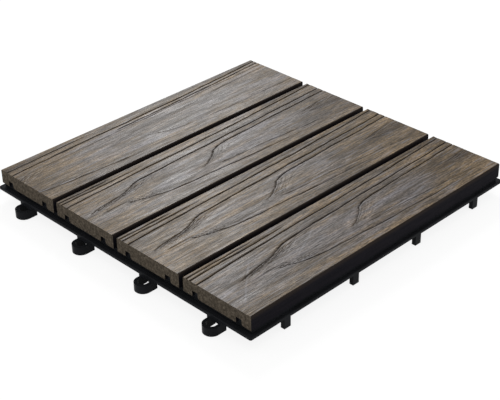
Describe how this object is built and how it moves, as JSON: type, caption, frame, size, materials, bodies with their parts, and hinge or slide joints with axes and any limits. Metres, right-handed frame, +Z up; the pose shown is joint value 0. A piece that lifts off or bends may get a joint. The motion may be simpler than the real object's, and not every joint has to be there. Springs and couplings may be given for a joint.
{
  "type": "interlocking deck tile",
  "caption": "Square deck tile of grooved composite boards on a moulded plastic lattice base, with loops on two sides and pegs on the other two that lock neighbouring tiles together.",
  "frame": {"origin": "on the ground under the middle of the square base, on the bottom of the centre foot", "axes": "+X runs along the boards towards the side with pegs, +Y runs across the boards towards the side with loops, +Z is up from the ground to the walking surface"},
  "size_m": [0.3094, 0.3094, 0.0277],
  "materials": {
    "base_plastic": "black moulded plastic, satin",
    "board_composite": "grey-brown wood-plastic composite with pressed wood grain",
    "screw_steel": "plain zinc-plated steel"
  },
  "bodies": {
    "root": {"base_grid": "base_plastic", "board_1": "board_composite", "board_2": "board_composite", "board_3": "board_composite", "board_4": "board_composite", "screws": "screw_steel"}
  },
  "joints": []
}
